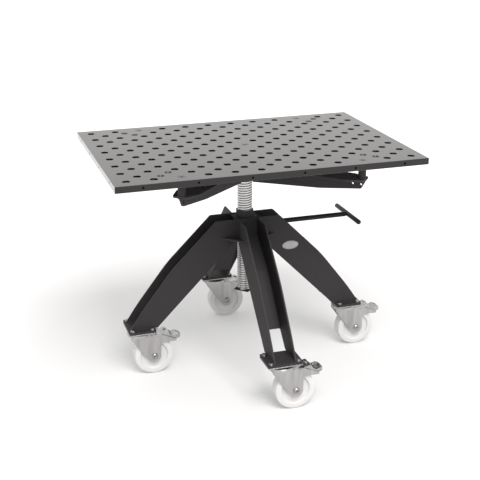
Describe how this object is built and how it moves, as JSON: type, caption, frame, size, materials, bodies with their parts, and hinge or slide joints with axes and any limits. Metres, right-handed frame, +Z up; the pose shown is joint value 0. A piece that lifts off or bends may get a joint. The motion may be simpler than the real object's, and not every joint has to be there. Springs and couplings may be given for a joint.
{
  "type": "assembly table",
  "caption": "Height-adjustable turning assembly table with a bored steel plate on a screw spindle, arched four-leg stand, clamp handle and braked swivel casters.",
  "frame": {"origin": "on the floor, on the spindle's axis, midway between the four wheels' swivel axes", "axes": "+X along the plate's long side and towards the clamp handle, +Y towards the rear, +Z up"},
  "size_m": [1.2177, 1.01, 0.935],
  "materials": {
    "plate_steel": "machined, lightly oiled",
    "powder_coat": "fine-textured satin powder coat",
    "spindle_steel": "turned, bright",
    "bolt_steel": "turned",
    "zinc": "zinc-plated pressed sheet",
    "nylon": "moulded, slightly waxy",
    "pedal_steel": "pressed sheet, bright zinc",
    "oval_plate": "satin enamel, bare"
  },
  "bodies": {
    "base": {"spindle_nut": "powder_coat", "hub_top_plate": "powder_coat", "hub_bottom_plate": "powder_coat", "corner_gussets": "powder_coat", "clamp_boss": "powder_coat", "arch_plate_front": "powder_coat", "arch_plate_rear": "powder_coat", "oval_plate": "oval_plate", "front_leg_left_plate": "powder_coat", "front_leg_right_plate": "powder_coat", "rear_leg_left_plate": "powder_coat", "rear_leg_right_plate": "powder_coat", "left_web": "powder_coat", "right_web": "powder_coat", "front_web": "powder_coat", "rear_web": "powder_coat", "left_foot_plate": "powder_coat", "right_foot_plate": "powder_coat", "front_foot_plate": "powder_coat", "rear_foot_plate": "powder_coat", "caster_bolts": "zinc", "kingpins": "zinc", "ball_races": "bolt_steel", "left_caster_plate": "zinc", "right_caster_plate": "zinc", "front_caster_plate": "zinc", "rear_caster_plate": "zinc"},
    "end_stop": {"end_plate": "powder_coat", "end_screw": "bolt_steel"},
    "table": {"table_plate": "plate_steel", "plate_bolts": "bolt_steel", "corner_posts": "powder_coat", "middle_post": "powder_coat", "cross_hub": "powder_coat", "arm_front_left": "powder_coat", "arm_front_right": "powder_coat", "arm_rear_left": "powder_coat", "arm_rear_right": "powder_coat", "spindle": "spindle_steel"},
    "pad": {"pressure_pad": "spindle_steel"},
    "handle": {"clamp_rod": "powder_coat", "cross_bar": "powder_coat"},
    "left_caster": {"left_fork": "zinc", "left_axle": "zinc"},
    "left_roller": {"left_wheel": "nylon"},
    "left_brake": {"left_brake_pedal": "pedal_steel"},
    "right_caster": {"right_fork": "zinc", "right_axle": "zinc"},
    "right_roller": {"right_wheel": "nylon"},
    "right_brake": {"right_brake_pedal": "pedal_steel"},
    "front_caster": {"front_fork": "zinc", "front_axle": "zinc"},
    "front_roller": {"front_wheel": "nylon"},
    "front_brake": {"front_brake_pedal": "pedal_steel"},
    "rear_caster": {"rear_fork": "zinc", "rear_axle": "zinc"},
    "rear_roller": {"rear_wheel": "nylon"},
    "rear_brake": {"rear_brake_pedal": "pedal_steel"}
  },
  "joints": [
    {"name": "table_lift", "type": "slide", "parent": "base", "child": "end_stop", "axis": [0, 0, 1], "range_m": [-0.1, 0.2]},
    {"name": "table_turn", "type": "hinge", "parent": "end_stop", "child": "table", "pos_m": [0, 0, 0.323], "axis": [0, 0, 1], "range_deg": [-3600, 7200]},
    {"name": "pad_slide", "type": "slide", "parent": "base", "child": "pad", "axis": [1, 0, 0], "range_m": [0, 0.004]},
    {"name": "handle_turn", "type": "hinge", "parent": "pad", "child": "handle", "pos_m": [0.455, 0, 0.5985], "axis": [1, 0, 0], "range_deg": [0, 720]},
    {"name": "left_swivel", "type": "hinge", "parent": "base", "child": "left_caster", "pos_m": [-0.45, 0, 0.18], "axis": [0, 0, 1], "continuous": true},
    {"name": "left_roll", "type": "hinge", "parent": "left_caster", "child": "left_roller", "pos_m": [-0.398, 0, 0.08], "axis": [0, 1, 0], "continuous": true},
    {"name": "left_brake_press", "type": "hinge", "parent": "left_caster", "child": "left_brake", "pos_m": [-0.38, 0, 0.165], "axis": [0, 1, 0], "range_deg": [0, 8]},
    {"name": "right_swivel", "type": "hinge", "parent": "base", "child": "right_caster", "pos_m": [0.45, 0, 0.18], "axis": [0, 0, 1], "continuous": true},
    {"name": "right_roll", "type": "hinge", "parent": "right_caster", "child": "right_roller", "pos_m": [0.502, 0, 0.08], "axis": [0, 1, 0], "continuous": true},
    {"name": "right_brake_press", "type": "hinge", "parent": "right_caster", "child": "right_brake", "pos_m": [0.52, 0, 0.165], "axis": [0, 1, 0], "range_deg": [0, 8]},
    {"name": "front_swivel", "type": "hinge", "parent": "base", "child": "front_caster", "pos_m": [0, -0.45, 0.18], "axis": [0, 0, 1], "continuous": true},
    {"name": "front_roll", "type": "hinge", "parent": "front_caster", "child": "front_roller", "pos_m": [0.052, -0.45, 0.08], "axis": [0, 1, 0], "continuous": true},
    {"name": "front_brake_press", "type": "hinge", "parent": "front_caster", "child": "front_brake", "pos_m": [0.07, -0.45, 0.165], "axis": [0, 1, 0], "range_deg": [0, 8]},
    {"name": "rear_swivel", "type": "hinge", "parent": "base", "child": "rear_caster", "pos_m": [0, 0.45, 0.18], "axis": [0, 0, 1], "continuous": true},
    {"name": "rear_roll", "type": "hinge", "parent": "rear_caster", "child": "rear_roller", "pos_m": [0.052, 0.45, 0.08], "axis": [0, 1, 0], "continuous": true},
    {"name": "rear_brake_press", "type": "hinge", "parent": "rear_caster", "child": "rear_brake", "pos_m": [0.07, 0.45, 0.165], "axis": [0, 1, 0], "range_deg": [0, 8]}
  ],
  "couplings": [
    {"joint": "table_turn", "follows": "table_lift", "rad_per_m": 628.32},
    {"joint": "handle_turn", "follows": "pad_slide", "rad_per_m": 3141.6}
  ]
}
